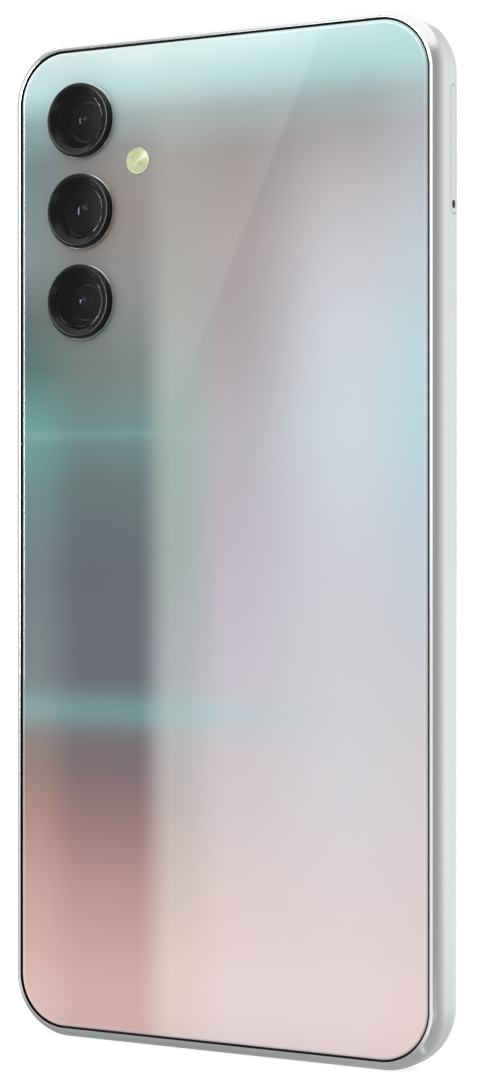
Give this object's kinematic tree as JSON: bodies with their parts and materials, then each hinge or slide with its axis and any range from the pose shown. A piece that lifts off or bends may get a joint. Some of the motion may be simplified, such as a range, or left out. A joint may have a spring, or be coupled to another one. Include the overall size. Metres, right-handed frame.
{
  "type": "smartphone",
  "caption": "Slab smartphone with a flat side frame, a column of separate round camera rings, side keys, a side card tray and its full inside.",
  "frame": {"origin": "middle of the bottom edge, halfway through the thickness, with the phone standing upright", "axes": "+Z towards the earpiece end, -Y out of the display, +Y out of the rear cover, +X towards the side with the power and volume keys"},
  "size_m": [0.0779, 0.0094, 0.1621],
  "materials": {
    "frame": "satin silver coating",
    "plate": "die-cast, bead blasted",
    "cover": "pearlescent film under a clear gloss coat",
    "display_glass": "polished, black when off",
    "display_stack": "satin",
    "adhesive": "matt black foam tape",
    "pull_tape": "matt white tape",
    "ring": "gloss black",
    "camera_glass": "polished, tinted dark",
    "camera_body": "matt",
    "barrel": "matt black with glossy lens",
    "flash": "pale yellow moulded lens",
    "led": "phosphor yellow",
    "pressed_steel": "plain sheet",
    "board": "solder mask",
    "chips": "matt moulding",
    "black_plastic": "matt, glass filled",
    "mesh": "woven, blackened",
    "contacts": "gold plated",
    "tungsten": "sintered",
    "battery": "wrapped pouch",
    "flex": "polyimide film",
    "coax": "smooth white jacket",
    "screws": "dark zinc",
    "keys": "satin silver coating",
    "sensor": "smooth glossy coat"
  },
  "bodies": {
    "phone": {"side_frame": "frame", "mid_plate": "plate", "display_glass": "display_glass", "display_panel": "display_stack", "display_adhesive": "adhesive", "display_flex": "flex", "back_panel": "cover", "back_adhesive": "adhesive", "upper_camera_ring": "ring", "middle_camera_ring": "ring", "lower_camera_ring": "ring", "upper_camera_window": "camera_glass", "middle_camera_window": "camera_glass", "lower_camera_window": "camera_glass", "upper_camera_module": "camera_body", "middle_camera_module": "camera_body", "lower_camera_module": "camera_body", "upper_lens_barrel": "barrel", "lower_lens_barrel": "barrel", "camera_bracket": "pressed_steel", "flash_lens": "flash", "flash_led": "led", "main_board": "board", "board_shields": "pressed_steel", "board_chips": "chips", "sub_board": "board", "port_shell": "pressed_steel", "port_tongue": "black_plastic", "headphone_jack": "black_plastic", "jack_contacts": "contacts", "loudspeaker": "black_plastic", "speaker_mesh": "mesh", "vibration_case": "pressed_steel", "bottom_microphone": "chips", "top_microphone": "chips", "battery": "battery", "battery_lead": "flex", "battery_adhesive": "pull_tape", "main_flex": "flex", "antenna_cable": "coax", "upper_cover": "black_plastic", "lower_cover": "black_plastic", "cover_screws": "screws", "nfc_antenna": "black_plastic", "key_flex": "flex", "key_switches": "pressed_steel", "key_bracket": "pressed_steel", "card_reader": "pressed_steel", "front_camera": "camera_body", "earpiece": "black_plastic", "earpiece_mesh": "mesh", "light_sensor": "chips"},
    "power_button": {"power_key": "keys", "fingerprint_sensor": "sensor"},
    "volume_rocker": {"volume_key": "keys"},
    "tray": {"card_tray": "keys"},
    "eject_rod": {"eject_rod": "pressed_steel"},
    "eject_lever": {"eject_lever": "pressed_steel"},
    "focus_barrel": {"middle_lens_barrel": "barrel"},
    "vibration_weight": {"vibration_rotor": "tungsten"}
  },
  "joints": [
    {"name": "power_key_press", "type": "slide", "parent": "phone", "child": "power_button", "axis": [-1, 0, 0], "range_m": [0, 0.0003], "stiffness_N_per_m": 1000, "springref_m": -0.0005},
    {"name": "volume_key_rock", "type": "hinge", "parent": "phone", "child": "volume_rocker", "pos_m": [0.03585, 0, 0.117], "axis": [0, 1, 0], "range_deg": [-1.2, 1.2], "stiffness_Nm_per_rad": 1},
    {"name": "tray_slide", "type": "slide", "parent": "phone", "child": "tray", "axis": [-1, 0, 0], "range_m": [0, 0.022]},
    {"name": "eject_rod_push", "type": "slide", "parent": "phone", "child": "eject_rod", "axis": [1, 0, 0], "range_m": [0, 0.0015]},
    {"name": "eject_lever_turn", "type": "hinge", "parent": "phone", "child": "eject_lever", "pos_m": [-0.01285, -0.00115, 0.13555], "axis": [0, 1, 0], "range_deg": [-24.76, 0]},
    {"name": "main_lens_focus", "type": "slide", "parent": "phone", "child": "focus_barrel", "axis": [0, 1, 0], "range_m": [0, 0.00025], "stiffness_N_per_m": 300, "springref_m": -0.0003},
    {"name": "vibration_spin", "type": "hinge", "parent": "phone", "child": "vibration_weight", "pos_m": [-0.0293, 0, 0.0224], "axis": [0, 1, 0], "continuous": true}
  ],
  "couplings": [
    {"joint": "eject_lever_turn", "follows": "eject_rod_push", "rad_per_m": -287.95}
  ]
}
